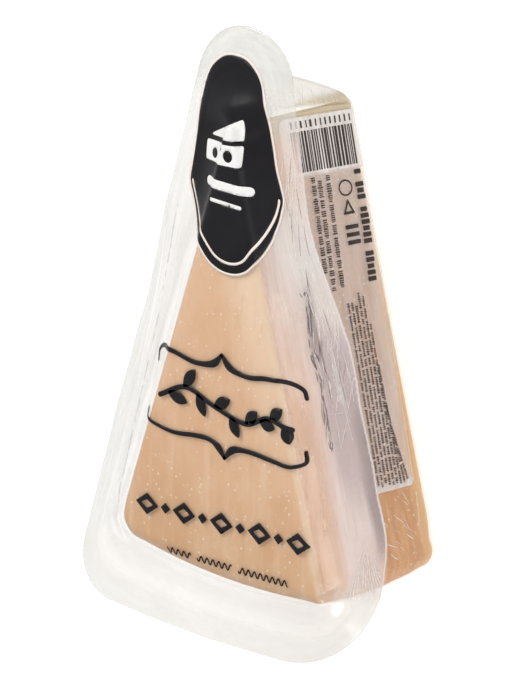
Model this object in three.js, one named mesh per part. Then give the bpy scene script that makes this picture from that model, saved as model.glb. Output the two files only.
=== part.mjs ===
import * as THREE from 'three';

// A vacuum pack holding one wedge of hard cheese. It lies on its back, printed face up.
// X runs across the face, Y from the rind to the tip and Z out of the face, in millimetres.
// The origin is on the floor, on the pack's long axis, midway along the sealed skirt.

const degrees = THREE.MathUtils.degToRad;

// Cheese: a sector with two cut sides, a blunt tip and a gently curved rind.
const cheeseThickness = 43.1;
const cheeseOutline = {
  vertex: new THREE.Vector2(0.8, 56.9),
  rightAngle: degrees(16.2),
  leftAngle: degrees(17.9),
  tipRadius: 1,
  baseCentre: new THREE.Vector2(6.8, 122.4),
  baseRadius: 180,
  rightCorner: 3.5,
  leftCorner: 5,
};
const cheeseEdgeRadius = { tip: 0.8, side: 2.2, rind: 4.3 };
const tipBlendLength = 21;
const rindBlendStart = -43;
const rindBlendLength = 12;
// Between back and face the rind swells where the outline turns towards the base.
const rindBulge = 1.8;
const rindFacing = { from: 0.3, whole: 0.95 };

// Films: both are sealed together in a wide skirt that slopes back from the printed face.
const filmThickness = 0.3;
const gap = 0.3;
const skirtOutline = {
  vertex: new THREE.Vector2(-0.3, 118.4),
  rightAngle: degrees(16.2),
  leftAngle: degrees(16.2),
  tipRadius: 15.8,
  baseCentre: new THREE.Vector2(-7.8, 312.8),
  baseRadius: 390,
  rightCorner: 34,
  leftCorner: 10.7,
};
// Below the rounded tip each side of the skirt draws in to a shallow waist.
const rightWaist = { depth: 2.5, fromY: 4, deepestY: 33, toY: 62 };
const leftWaist = { depth: 3.4, fromY: -30, deepestY: 54, toY: 78 };
const skirtDropAtCheese = 1.3;
const skirtDropAtSeal = 6;
const skirtDropAtEdge = 8.6;
const sealStart = 0.57;
const pocketLeavesWall = 4.8;
// Towards the tip the skirt is held nearer the face, most of all a little short of the tip.
const skirtLift = { share: 0.37, fromY: 3, toY: 38, easesFromY: 56, easesToY: 74, eased: 0.6 };
const lidLeavesEdge = degrees(40);

// The pocket runs on past the tip as a thin, empty fin of film, longest at the skirt.
const finRootY = 53.7;
const finLengthAtSkirt = 15;
const finLengthAtBack = 0.2;

// Sticker on the right-hand cut side. It is turned a little against the back edge.
const labelLength = 92;
const labelWidth = 26.5;
const labelCornerRadius = 2.4;
const labelFromVertex = 50.5;
const labelHeight = 17.8;
const labelTurn = degrees(3);

// How finely each stretch of an outline and each profile is divided.
const tipSteps = 4;
const sideSteps = 9;
const sideCrowding = 1.6;
const cornerSteps = 7;
const baseSteps = 5;
const edgeSteps = 3;
const wallSteps = 6;
const webSteps = 4;
const sealSteps = 2;

const floorOfCheese = filmThickness + gap;
const faceOfCheese = floorOfCheese + cheeseThickness;
const faceOfLid = faceOfCheese + gap + filmThickness;

// Points of an arc, with its first point left out where the stretch before it ends there.
function arcPoints(centre, radius, from, to, steps, first) {
  const points = [];
  for (let i = first; i <= steps; i++) {
    const angle = from + (to - from) * i / steps;
    points.push(new THREE.Vector2(Math.cos(angle), Math.sin(angle)).multiplyScalar(radius).add(centre));
  }
  return points;
}

// The right half of a wedge outline, from the middle of the tip to the middle of the base.
function halfOutline({ vertex, angle, tipRadius, baseCentre, baseRadius, corner }) {
  const along = new THREE.Vector2(Math.sin(angle), -Math.cos(angle));
  const outward = new THREE.Vector2(Math.cos(angle), Math.sin(angle));
  const tipCentre = new THREE.Vector2(vertex.x, vertex.y - tipRadius / Math.sin(angle));

  // The corner's centre lies one corner radius inside both the side and the base arc.
  const start = vertex.clone().addScaledVector(outward, -corner).sub(baseCentre);
  const reach = baseRadius - corner;
  const lead = start.dot(along);
  const travel = -lead + Math.sqrt(lead * lead - start.lengthSq() + reach * reach);
  const cornerFromBase = start.clone().addScaledVector(along, travel);
  const cornerCentre = cornerFromBase.clone().add(baseCentre);

  const sideStart = tipRadius / Math.tan(angle);
  const side = [];
  for (let i = 1; i < sideSteps; i++) {
    const share = (i / sideSteps) ** sideCrowding;
    side.push(vertex.clone().addScaledVector(along, sideStart + (travel - sideStart) * share));
  }

  const baseAngle = cornerFromBase.angle() - 2 * Math.PI;
  const middleAngle = -Math.PI / 2 - Math.asin(baseCentre.x / baseRadius);
  return [
    ...arcPoints(tipCentre, tipRadius, Math.PI / 2, angle, tipSteps, 0),
    ...side,
    ...arcPoints(cornerCentre, corner, angle, baseAngle, cornerSteps, 0),
    ...arcPoints(baseCentre, baseRadius, baseAngle, middleAngle, baseSteps, 1),
  ];
}

// A whole wedge outline, clockwise from the tip as seen from above, grown outwards.
function wedgeOutline(outline, grow = 0) {
  const half = (angle, corner, mirror) => halfOutline({
    vertex: new THREE.Vector2(
      outline.vertex.x * mirror,
      outline.vertex.y + grow / Math.sin(angle),
    ),
    angle,
    tipRadius: outline.tipRadius + grow,
    baseCentre: new THREE.Vector2(outline.baseCentre.x * mirror, outline.baseCentre.y),
    baseRadius: outline.baseRadius + grow,
    corner: corner + grow,
  });
  const right = half(outline.rightAngle, outline.rightCorner, 1);
  const left = half(outline.leftAngle, outline.leftCorner, -1);
  const mirrored = left.slice(1, -1).reverse().map(p => new THREE.Vector2(-p.x, p.y));
  return [...right, ...mirrored];
}

// Outward normals at the points of a clockwise ring.
function outlineNormals(ring) {
  return ring.map((point, i) => {
    const before = ring[(i + ring.length - 1) % ring.length];
    const after = ring[(i + 1) % ring.length];
    return new THREE.Vector2(before.y - after.y, after.x - before.x).normalize();
  });
}

function edgeRadiusAt(y) {
  const { tip, side, rind } = cheeseEdgeRadius;
  const fromTip = THREE.MathUtils.smoothstep(cheeseOutline.vertex.y - y, 0, tipBlendLength);
  const towardsRind = THREE.MathUtils.smoothstep(rindBlendStart - y, 0, rindBlendLength);
  return tip + (side - tip) * fromTip + (rind - side) * towardsRind;
}

// A ring on the rounded edge of a block. At turn 0 it lies on the face, at 90 degrees on the wall.
// The side is +1 for the upper edge and -1 for the lower one.
function edgeRing(outline, faceZ, turn, side, extraRadius = 0) {
  const normals = outlineNormals(outline);
  return outline.map((point, i) => {
    const radius = edgeRadiusAt(point.y) + extraRadius;
    const inset = radius * (1 - Math.sin(turn));
    const drop = radius * (1 - Math.cos(turn));
    return new THREE.Vector3(
      point.x - normals[i].x * inset,
      point.y - normals[i].y * inset,
      faceZ - side * drop,
    );
  });
}

function distanceToOutline(point, ring) {
  const segment = new THREE.Line3();
  const nearest = new THREE.Vector3();
  const here = new THREE.Vector3(point.x, point.y, 0);
  let best = Infinity;
  ring.forEach((corner, i) => {
    const next = ring[(i + 1) % ring.length];
    segment.start.set(corner.x, corner.y, 0);
    segment.end.set(next.x, next.y, 0);
    segment.closestPointToPoint(here, true, nearest);
    best = Math.min(best, nearest.distanceTo(here));
  });
  return best;
}

function waistAt(y, { depth, fromY, deepestY, toY }) {
  const { smoothstep } = THREE.MathUtils;
  return depth * smoothstep(y, fromY, deepestY) * (1 - smoothstep(y, deepestY, toY));
}

function withWaist(ring, middleX) {
  return ring.map(({ x, y }) => new THREE.Vector2(
    x > middleX ? x - waistAt(y, rightWaist) : x + waistAt(y, leftWaist),
    y,
  ));
}

const cheeseRing = wedgeOutline(cheeseOutline);
const innerWallRing = wedgeOutline(cheeseOutline, gap);
const outerWallRing = wedgeOutline(cheeseOutline, gap + filmThickness);
const skirtRing = withWaist(wedgeOutline(skirtOutline), skirtOutline.vertex.x);

const rindBulges = outlineNormals(cheeseRing).map(
  normal => rindBulge * THREE.MathUtils.smoothstep(-normal.y, rindFacing.from, rindFacing.whole),
);

// Moves the rind points of a ring outwards, on a parabola between back and face.
function swellRind(ring) {
  return ring.map((point, i) => {
    const height = THREE.MathUtils.clamp((point.z - floorOfCheese) / cheeseThickness, 0, 1);
    const fromMiddle = 2 * height - 1;
    const swell = rindBulges[i] * (1 - fromMiddle * fromMiddle);
    return new THREE.Vector3(point.x, point.y - swell, point.z);
  });
}

// How far the skirt has fallen below the lid's face at a place between wall and skirt edge.
function skirtDropAt(point) {
  const fromWall = distanceToOutline(point, innerWallRing);
  const fromEdge = distanceToOutline(point, skirtRing);
  const share = fromWall / (fromWall + fromEdge);
  const { smoothstep } = THREE.MathUtils;
  const rise = smoothstep(point.y, skirtLift.fromY, skirtLift.toY);
  const ease = 1 - skirtLift.eased * smoothstep(point.y, skirtLift.easesFromY, skirtLift.easesToY);
  const kept = 1 - skirtLift.share * rise * ease;
  if (share < sealStart) {
    const swing = Math.sin(Math.PI / 2 * share / sealStart);
    return skirtDropAtCheese + (skirtDropAtSeal * kept - skirtDropAtCheese) * swing;
  }
  const pastSeal = (share - sealStart) / (1 - sealStart);
  return kept * (skirtDropAtSeal + (skirtDropAtEdge - skirtDropAtSeal) * pastSeal);
}

// Rings of the skirt from a wall outline out to its edge, at the heights that heightAt gives.
function skirtRings(wallRing, heightAt) {
  const shares = [];
  for (let i = 0; i <= webSteps; i++) shares.push(sealStart * i / webSteps);
  for (let i = 1; i <= sealSteps; i++) shares.push(sealStart + (1 - sealStart) * i / sealSteps);
  return shares.map(share => wallRing.map((point, i) => {
    const place = new THREE.Vector2().lerpVectors(point, skirtRing[i], share);
    return new THREE.Vector3(place.x, place.y, heightAt(place));
  }));
}

// Skins a list of equal rings, with a fan over the first and the last.
function solidFromRings(rings) {
  const count = rings[0].length;
  const positions = rings.flat().flatMap(p => [p.x, p.y, p.z]);
  const faces = [];
  for (let r = 0; r + 1 < rings.length; r++) {
    for (let i = 0; i < count; i++) {
      const a = r * count + i;
      const b = r * count + (i + 1) % count;
      faces.push(a, b, b + count, a, b + count, a + count);
    }
  }
  const fan = (ring, offset, flipped) => {
    const centre = ring.reduce((sum, p) => sum.add(p), new THREE.Vector3());
    centre.divideScalar(count);
    const hub = positions.length / 3;
    positions.push(centre.x, centre.y, centre.z);
    for (let i = 0; i < count; i++) {
      const here = offset + i;
      const next = offset + (i + 1) % count;
      faces.push(hub, ...(flipped ? [here, next] : [next, here]));
    }
  };
  fan(rings[0], 0, false);
  fan(rings[rings.length - 1], (rings.length - 1) * count, true);

  const geometry = new THREE.BufferGeometry();
  geometry.setAttribute('position', new THREE.Float32BufferAttribute(positions, 3));
  geometry.setIndex(faces);
  geometry.computeVertexNormals();
  return geometry;
}

const turns = Array.from({ length: edgeSteps + 1 }, (_, i) => Math.PI / 2 * i / edgeSteps);

function cheeseGeometry() {
  const upper = turns.map(turn => edgeRing(cheeseRing, faceOfCheese, turn, 1));
  const lower = turns.map(turn => edgeRing(cheeseRing, floorOfCheese, turn, -1));
  const wall = [];
  for (let step = 1; step < wallSteps; step++) {
    wall.push(upper[edgeSteps].map(
      (point, i) => new THREE.Vector3().lerpVectors(point, lower[edgeSteps][i], step / wallSteps),
    ));
  }
  return solidFromRings([...upper, ...wall, ...lower.reverse()].map(swellRind));
}

// The lid lies on the face, turns over its rounded edge and slopes away into the skirt.
function lidGeometry() {
  const surface = depth => {
    const faceZ = faceOfLid - depth;
    const over = [0, lidLeavesEdge / 2, lidLeavesEdge].map(
      turn => edgeRing(innerWallRing, faceZ, turn, 1, gap),
    );
    return [...over, ...skirtRings(innerWallRing, place => faceZ - skirtDropAt(place))];
  };
  return solidFromRings([...surface(0), ...surface(filmThickness).reverse()]);
}

// A wall outline whose tip is drawn out into the fin.
function withFin(ring, finLength) {
  const tip = ring[0].y;
  return ring.map(point => {
    const share = THREE.MathUtils.clamp((point.y - finRootY) / (tip - finRootY), 0, 1);
    return new THREE.Vector2(point.x, point.y + finLength * share);
  });
}

// The formed pocket hugs the back and the sides, then turns out under the lid.
function pocketGeometry() {
  const surface = (wallRing, depth) => {
    const backZ = filmThickness - depth;
    const edgeTurns = turns.map(turn => edgeRing(wallRing, backZ, turn, -1, depth));
    const wallFoot = edgeTurns[edgeSteps];
    const heightAt = place => {
      const drop = Math.max(pocketLeavesWall, skirtDropAt(place) + filmThickness + gap);
      return faceOfLid - drop - depth;
    };
    const wallHead = withFin(wallRing, finLengthAtSkirt).map(
      point => new THREE.Vector3(point.x, point.y, heightAt(point)),
    );
    const wall = [];
    for (let step = 1; step < wallSteps; step++) {
      const share = step / wallSteps;
      const finLength = finLengthAtBack + (finLengthAtSkirt - finLengthAtBack) * share;
      wall.push(withFin(wallRing, finLength).map((point, i) => {
        const z = THREE.MathUtils.lerp(wallFoot[i].z, wallHead[i].z, share);
        return new THREE.Vector3(point.x, point.y, z);
      }));
    }
    const skirt = skirtRings(swellRind(wallHead), heightAt);
    return [...[...edgeTurns, ...wall].map(swellRind), ...skirt];
  };
  const inside = surface(innerWallRing, 0);
  const outside = surface(outerWallRing, filmThickness);
  return solidFromRings([...inside, ...outside.reverse()]);
}

function labelGeometry() {
  const halfLength = labelLength / 2 - labelCornerRadius;
  const halfWidth = labelWidth / 2 - labelCornerRadius;
  const shape = new THREE.Shape();
  const quarter = Math.PI / 2;
  shape.absarc(halfLength, halfWidth, labelCornerRadius, 0, quarter);
  shape.absarc(-halfLength, halfWidth, labelCornerRadius, quarter, 2 * quarter);
  shape.absarc(-halfLength, -halfWidth, labelCornerRadius, 2 * quarter, 3 * quarter);
  shape.absarc(halfLength, -halfWidth, labelCornerRadius, 3 * quarter, 4 * quarter);
  shape.closePath();
  return new THREE.ExtrudeGeometry(shape, {
    depth: filmThickness, bevelEnabled: false, curveSegments: cornerSteps,
  });
}

// The label's own X runs up the side from rind to tip, its Y up the wall and its Z outwards.
function placeLabel(mesh) {
  const { vertex, rightAngle } = cheeseOutline;
  const towardsTip = new THREE.Vector3(-Math.sin(rightAngle), Math.cos(rightAngle), 0);
  const outward = new THREE.Vector3(Math.cos(rightAngle), Math.sin(rightAngle), 0);
  const up = new THREE.Vector3(0, 0, 1);
  const frame = new THREE.Matrix4().makeBasis(towardsTip, up, outward);
  const turn = new THREE.Matrix4().makeRotationZ(-labelTurn);
  mesh.quaternion.setFromRotationMatrix(frame.multiply(turn));
  mesh.position.set(vertex.x, vertex.y, labelHeight)
    .addScaledVector(towardsTip, -labelFromVertex)
    .addScaledVector(outward, 2 * gap + filmThickness);
}

function namedMesh(name, geometry, color, roughness, opacity = 1) {
  const material = new THREE.MeshStandardMaterial({
    color, roughness, metalness: 0, opacity, transparent: opacity < 1,
  });
  const mesh = new THREE.Mesh(geometry, material);
  mesh.name = name;
  return mesh;
}

const cheese = namedMesh('cheese_wedge', cheeseGeometry(), 0xe0b47c, 0.55);
const pocket = namedMesh('pocket_film', pocketGeometry(), 0xe9e8e2, 0.15, 0.35);
const lid = namedMesh('lid_film', lidGeometry(), 0xf0efea, 0.12, 0.35);
const label = namedMesh('side_label', labelGeometry(), 0xd9cdb4, 0.3);
placeLabel(label);

const pack = new THREE.Group();
pack.add(cheese, pocket, lid, label);

export default pack;
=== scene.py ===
import math

import bmesh
import bpy
import numpy as np
from mathutils import Matrix, Vector
from mathutils.bvhtree import BVHTree
from mathutils.geometry import delaunay_2d_cdt


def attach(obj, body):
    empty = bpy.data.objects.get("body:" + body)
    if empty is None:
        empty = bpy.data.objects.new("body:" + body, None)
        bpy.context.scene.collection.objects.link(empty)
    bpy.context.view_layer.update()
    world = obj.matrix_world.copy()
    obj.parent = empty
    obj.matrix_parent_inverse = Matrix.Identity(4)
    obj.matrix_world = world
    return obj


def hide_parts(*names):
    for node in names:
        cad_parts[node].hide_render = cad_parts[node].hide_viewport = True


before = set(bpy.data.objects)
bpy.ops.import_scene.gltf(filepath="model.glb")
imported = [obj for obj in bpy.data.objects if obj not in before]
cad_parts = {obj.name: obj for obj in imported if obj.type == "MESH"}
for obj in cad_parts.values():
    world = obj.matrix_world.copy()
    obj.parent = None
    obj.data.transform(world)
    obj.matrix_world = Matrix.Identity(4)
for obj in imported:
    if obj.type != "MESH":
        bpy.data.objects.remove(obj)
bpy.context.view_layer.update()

# A wedge of hard cheese in a clear vacuum pack. Sizes are in millimetres until a mesh is made.
mm = 0.001
seeded = np.random.default_rng(7)


def shade(red, green, blue):
    # A screen colour, 0 to 255, as the linear colour that shaders take.
    parts = [level / 255 for level in (red, green, blue)]
    return tuple(((part + 0.055) / 1.055) ** 2.4 if part > 0.04 else part / 12.92 for part in parts)


def smooth(value, low, high):
    t = np.clip((value - low) / (high - low), 0, 1)
    return t * t * (3 - 2 * t)


def bump(value, centre, width):
    return np.exp(-((value - centre) / width) ** 2)


def within(value, *ramps):
    # A ramp rises from 0 to 1 between its first two values, and falls if they are given high to low.
    # A third value is the least that it comes down to.
    amount = 1.0
    for start, end, *least in ramps:
        low = least[0] if least else 0.0
        amount = amount * (low + (1 - low) * smooth(value, start, end))
    return amount


photoView = dict(
    azimuth=41.0, elevation=16.3, roll=1.2,  # degrees, from the pack's own Z and Y
    target=(11.43, 4.39, 44.3),              # the point in the middle of the picture
    distance=938.0, lens=209.3, sensorHeight=36.0, clip=(0.01, 20.0),
)


def addCamera(view):
    turn, tilt, roll = (math.radians(view[k]) for k in ("azimuth", "elevation", "roll"))
    towards = Vector((math.sin(turn) * math.cos(tilt), math.sin(tilt), math.cos(turn) * math.cos(tilt)))
    right = Vector((0, 1, 0)).cross(towards).normalized()
    up = towards.cross(right)
    rightRolled = right * math.cos(roll) + up * math.sin(roll)
    upRolled = up * math.cos(roll) - right * math.sin(roll)
    place = (Vector(view["target"]) + towards * view["distance"]) * mm
    data = bpy.data.cameras.new("photoCamera")
    data.sensor_fit = "VERTICAL"
    data.sensor_height = view["sensorHeight"]
    data.lens = view["lens"]
    data.clip_start, data.clip_end = view["clip"]
    camera = bpy.data.objects.new("photoCamera", data)
    axes = Matrix((rightRolled, upRolled, towards)).transposed().to_4x4()
    camera.matrix_world = Matrix.Translation(place) @ axes
    bpy.context.scene.collection.objects.link(camera)
    bpy.context.scene.camera = camera


studio = dict(
    skyStrength=0.5,
    floorColour=(0.5, 0.5, 0.5), floorRoughness=0.9, floorGlow=0.68, floorSize=4000.0,
    filmBounces=32,  # how many clear film surfaces a ray may pass
    lamps=dict(  # name: place, point it faces, size, watts
        keySoftbox=((-330, 640, 560), (0, 0, 30), 460, 5.0),
        frontSoftbox=((620, -60, 560), (10, 0, 30), 420, 2.3),
        rindStrip=((150, -620, 260), (10, -40, 20), 260, 0.6),
    ),
)


def addStudio(settings):
    world = bpy.data.worlds.new("studioSky")
    world.use_nodes = True
    sky = world.node_tree.nodes["Background"]
    sky.inputs["Color"].default_value = (1, 1, 1, 1)
    sky.inputs["Strength"].default_value = settings["skyStrength"]
    bpy.context.scene.world = world
    for name, (place, facing, size, watts) in settings["lamps"].items():
        data = bpy.data.lights.new(name, "AREA")
        data.shape = "SQUARE"
        data.size = size * mm
        data.energy = watts
        lamp = bpy.data.objects.new(name, data)
        lamp.location = Vector(place) * mm
        lamp.rotation_euler = (Vector(place) - Vector(facing)).to_track_quat("Z", "Y").to_euler()
        bpy.context.scene.collection.objects.link(lamp)
    half = settings["floorSize"] / 2
    corners = [(-half, -half, 0), (half, -half, 0), (half, half, 0), (-half, half, 0)]
    mesh = bpy.data.meshes.new("paleFloor")
    mesh.from_pydata([Vector(c) * mm for c in corners], [], [(0, 1, 2, 3)])
    material = bpy.data.materials.new("palePaper")
    material.use_nodes = True
    paper = material.node_tree.nodes["Principled BSDF"]
    paper.inputs["Base Color"].default_value = (*settings["floorColour"], 1)
    paper.inputs["Roughness"].default_value = settings["floorRoughness"]
    paper.inputs["Emission Color"].default_value = (1, 1, 1, 1)
    paper.inputs["Emission Strength"].default_value = settings["floorGlow"]
    mesh.materials.append(material)
    floor = bpy.data.objects.new("paleFloor", mesh)
    bpy.context.scene.collection.objects.link(floor)
    bpy.context.scene.view_settings.view_transform = "Standard"
    bpy.context.scene.cycles.transparent_max_bounces = settings["filmBounces"]


addCamera(photoView)
addStudio(studio)
print("camera and studio set")


pack = dict(
    cheeseThickness=43.1, filmGap=0.3, backFilm=0.3,
    edgeRadius=dict(tip=0.8, side=2.2, rind=4.3),
    tipBlend=21.0, rindBlendStart=-43.0, rindBlend=12.0, rindFacing=(0.3, 0.95), rindBulge=1.8,
    edgeAtTip=(0.55, 0.24), edgeAtCorner=(0.8, 0.35),  # most it may be there, and how fast that grows
)
floorOfCheese = pack["backFilm"] + pack["filmGap"]
faceOfCheese = floorOfCheese + pack["cheeseThickness"]
faceOfLid = faceOfCheese + 2 * pack["filmGap"]

cheeseOutline = dict(
    vertex=(0.8, 56.9), angles=(16.2, 17.9), tipRadius=1.0,  # right and left angle
    baseCentre=(6.8, 122.4), baseRadius=180.0, corners=(3.5, 5.0),
)
skirtOutline = dict(
    vertex=(-0.3, 118.4), angles=(16.2, 16.2), tipRadius=15.8,
    baseCentre=(-7.8, 312.8), baseRadius=390.0, corners=(34.0, 10.7),
)
waists = dict(right=(2.5, 4, 33, 62), left=(2.2, -30, 50, 80))  # depth, from, deepest and to, along Y
steps = dict(
    tip=22, side=205, corner=40, base=88,                         # points along an outline
    edge=9, wall=30, faceFan=10, backFan=6,                       # rings of the cheese
    lidEdge=5, lidFan=16, lidWeb=23, lidSeal=20,                  # rings of the lid film
    pocketWall=21, pocketWeb=16, pocketSeal=14,                   # and of the pocket film
)


def arcPoints(centre, radius, start, end, count, first=0):
    angle = np.linspace(start, end, count + 1)[first:]
    return np.stack([centre[0] + radius * np.cos(angle), centre[1] + radius * np.sin(angle)], 1)


def halfOutline(vertex, angle, tipRadius, baseCentre, baseRadius, corner):
    vertex, baseCentre = np.array(vertex), np.array(baseCentre)
    along = np.array([math.sin(angle), -math.cos(angle)])
    outward = np.array([math.cos(angle), math.sin(angle)])
    start = vertex - outward * corner - baseCentre
    reach = baseRadius - corner
    lead = start @ along
    travel = -lead + math.sqrt(lead * lead - start @ start + reach * reach)
    fromBase = start + along * travel
    tipCentre = vertex - np.array([0, tipRadius / math.sin(angle)])
    sideStart = tipRadius / math.tan(angle)
    share = np.arange(1, steps["side"]) / steps["side"]
    side = vertex + np.outer(sideStart + (travel - sideStart) * share, along)
    baseAngle = math.atan2(fromBase[1], fromBase[0])
    middle = -math.pi / 2 - math.asin(baseCentre[0] / baseRadius)
    return np.vstack([
        arcPoints(tipCentre, tipRadius, math.pi / 2, angle, steps["tip"]),
        side,
        arcPoints(fromBase + baseCentre, corner, angle, baseAngle, steps["corner"]),
        arcPoints(baseCentre, baseRadius, baseAngle, middle, steps["base"], 1),
    ])


def wedgeOutline(outline):
    halves = []
    for mirror, angle, corner in zip((1, -1), outline["angles"], outline["corners"]):
        angle = math.radians(angle)
        x, y = outline["vertex"]
        baseX, baseY = outline["baseCentre"]
        half = halfOutline(
            (x * mirror, y), angle, outline["tipRadius"],
            (baseX * mirror, baseY), outline["baseRadius"], corner,
        )
        halves.append(half * (mirror, 1))
    return np.vstack([halves[0], halves[1][1:-1][::-1]])


def waisted(ring):
    x, y = ring.T
    moves = {}
    for side, (depth, low, deepest, high) in waists.items():
        moves[side] = depth * smooth(y, low, deepest) * (1 - smooth(y, deepest, high))
    isRight = x > skirtOutline["vertex"][0]
    return np.stack([np.where(isRight, x - moves["right"], x + moves["left"]), y], 1)


def normalsOf(ring):
    across = np.roll(ring, 1, 0) - np.roll(ring, -1, 0)
    normal = np.stack([across[:, 1], -across[:, 0]], 1)
    return normal / np.linalg.norm(normal, axis=1, keepdims=True)


cheeseRing = wedgeOutline(cheeseOutline)
cheeseNormals = normalsOf(cheeseRing)
skirtRing = waisted(wedgeOutline(skirtOutline))
ringCount = len(cheeseRing)
stretch = np.linalg.norm(np.roll(skirtRing, -1, 0) - skirtRing, axis=1)
alongSkirt = np.concatenate([[0], np.cumsum(stretch)[:-1]])  # from the tip, clockwise
fromTipAlong = np.minimum(alongSkirt, stretch.sum() - alongSkirt)
rindFacing = smooth(-cheeseNormals[:, 1], *pack["rindFacing"])


def edgeRadii():
    # The edge is small at the tip and full at the rind, and never wider than a corner can take.
    x, y = cheeseRing.T
    radius = pack["edgeRadius"]
    fromTip = smooth(cheeseOutline["vertex"][1] - y, 0, pack["tipBlend"])
    towardsRind = smooth(pack["rindBlendStart"] - y, 0, pack["rindBlend"])
    wanted = radius["tip"] + (radius["side"] - radius["tip"]) * fromTip \
        + (radius["rind"] - radius["side"]) * towardsRind
    most, growth = pack["edgeAtTip"]
    wanted = np.minimum(wanted, most + growth * np.maximum(cheeseRing[0, 1] - y, 0))
    most, growth = pack["edgeAtCorner"]
    lowRight = steps["tip"] + steps["side"] + steps["corner"] // 2
    for corner, size in zip((lowRight, ringCount - lowRight), cheeseOutline["corners"]):
        away = np.hypot(*(cheeseRing - cheeseRing[corner]).T)
        wanted = np.minimum(wanted, most * size + growth * np.maximum(away - size, 0))
    return wanted


cheeseEdge = edgeRadii()


def rindSwell(z):
    height = np.clip((z - floorOfCheese) / pack["cheeseThickness"], 0, 1)
    return pack["rindBulge"] * rindFacing * (1 - (2 * height - 1) ** 2)


def swollen(ring):
    return np.column_stack([ring[:, 0], ring[:, 1] - rindSwell(ring[:, 2]), ring[:, 2]])


def edgeRing(grow, faceZ, turn, side, extra=0.0):
    # One ring of a rounded edge. The turn is 0 on the flat and a quarter of a circle at the wall.
    ring = cheeseRing + cheeseNormals * grow
    radius = cheeseEdge + extra
    inset = radius * (1 - math.sin(turn))
    drop = radius * (1 - math.cos(turn))
    flat = ring - cheeseNormals * inset[:, None]
    return np.column_stack([flat, faceZ - side * drop])


spine = dict(rind=-36.0, tip=42.0, crowding=0.8)


def spineRings(ring, count):
    # Rings that close a face: they shrink on to a line down its middle.
    mirror = np.minimum(np.arange(ringCount), ringCount - np.arange(ringCount))
    y = np.clip(ring[mirror, 1], spine["rind"], spine["tip"])
    x = cheeseOutline["vertex"][0] * (y - spine["rind"]) / (spine["tip"] - spine["rind"])
    line = np.column_stack([x, y, np.full(ringCount, ring[0, 2])])
    return [line + (ring - line) * share for share in np.linspace(0, 1, count + 1)[:-1] ** spine["crowding"]]


def gridFaces(rows, count, first=0):
    a = first + np.arange(rows - 1)[:, None] * count + np.arange(count)
    b = first + np.arange(rows - 1)[:, None] * count + (np.arange(count) + 1) % count
    return np.stack([a, b, b + count, a + count], -1).reshape(-1, 4)


def surfaceTree(rings):
    # The surface through the rings, to set other things on.
    faces = gridFaces(len(rings), ringCount)
    return BVHTree.FromPolygons(np.vstack(rings).tolist(), faces.tolist(), epsilon=1e-5)


mergeWithin = 0.004  # points closer than this are one


def makePiece(name, verts, faces, material, replaces=(), attributes=None, merge=False):
    mesh = bpy.data.meshes.new(name)
    mesh.from_pydata((np.asarray(verts, float) * mm).tolist(), [], [tuple(map(int, f)) for f in faces])
    for key, (kind, values) in (attributes or {}).items():
        layer = mesh.attributes.new(key, kind, "POINT")
        field = {"FLOAT": "value", "FLOAT_VECTOR": "vector", "FLOAT_COLOR": "color"}[kind]
        layer.data.foreach_set(field, np.asarray(values, np.float32).ravel())
    work = bmesh.new()
    work.from_mesh(mesh)
    if merge:
        bmesh.ops.remove_doubles(work, verts=work.verts, dist=mergeWithin * mm)
        bmesh.ops.dissolve_degenerate(work, edges=work.edges, dist=mergeWithin * mm / 4)
    bmesh.ops.recalc_face_normals(work, faces=work.faces)
    for face in work.faces:
        face.smooth = True
    work.to_mesh(mesh)
    work.free()
    mesh.materials.append(material)
    piece = bpy.data.objects.new(name, mesh)
    bpy.context.scene.collection.objects.link(piece)
    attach(piece, "root")
    if replaces:
        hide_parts(*replaces)
    return piece


def newMaterial(name):
    material = bpy.data.materials.new(name)
    material.use_nodes = True
    tree = material.node_tree
    tree.nodes.clear()
    return material, tree


def add(tree, kind, values=None, **settings):
    made = tree.nodes.new(kind)
    for key, value in settings.items():
        setattr(made, key, value)
    for key, value in (values or {}).items():
        if isinstance(value, bpy.types.NodeSocket):
            tree.links.new(value, made.inputs[key])
        else:
            made.inputs[key].default_value = value
    return made


def maths(tree, operation, first, second, clamp=False):
    return add(tree, "ShaderNodeMath", {0: first, 1: second}, operation=operation, use_clamp=clamp).outputs[0]


def times(tree, first, second):
    return maths(tree, "MULTIPLY", first, second)


def plus(tree, first, second):
    return maths(tree, "ADD", first, second)


def mapRange(tree, value, low, high, toLow=0.0, toHigh=1.0):
    made = add(tree, "ShaderNodeMapRange", {
        "Value": value, "From Min": low, "From Max": high, "To Min": toLow, "To Max": toHigh})
    return made.outputs["Result"]


def blendColour(tree, factor, first, second):
    made = add(tree, "ShaderNodeMix", {0: factor}, data_type="RGBA")
    for index, value in ((6, first), (7, second)):
        if isinstance(value, bpy.types.NodeSocket):
            tree.links.new(value, made.inputs[index])
        else:
            made.inputs[index].default_value = (*value, 1)
    return made.outputs[2]


def noiseOn(tree, vector, scale, detail=3.0, stretch=(1, 1, 1), turn=(0, 0, 0), roughness=0.5):
    mapped = add(tree, "ShaderNodeMapping", {"Vector": vector, "Scale": stretch, "Rotation": turn})
    return add(tree, "ShaderNodeTexNoise", {
        "Vector": mapped.outputs[0], "Scale": scale, "Detail": detail, "Roughness": roughness}).outputs["Fac"]


def objectPlace(tree):
    return add(tree, "ShaderNodeTexCoord").outputs["Object"]


def reliefOf(tree, height, strength, distance):
    return add(tree, "ShaderNodeBump", {
        "Height": height, "Strength": strength, "Distance": distance}).outputs[0]


def layered(tree, colour, layers, tones, values):
    # Each layer: its tone, what it follows, from and to, and the least and most of it.
    for tone, key, *limits in layers:
        colour = blendColour(tree, mapRange(tree, values[key], *limits), colour, tones[tone])
    return colour


def finished(material, shader):
    add(material.node_tree, "ShaderNodeOutputMaterial", {"Surface": shader.outputs[0]})
    return material


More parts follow.
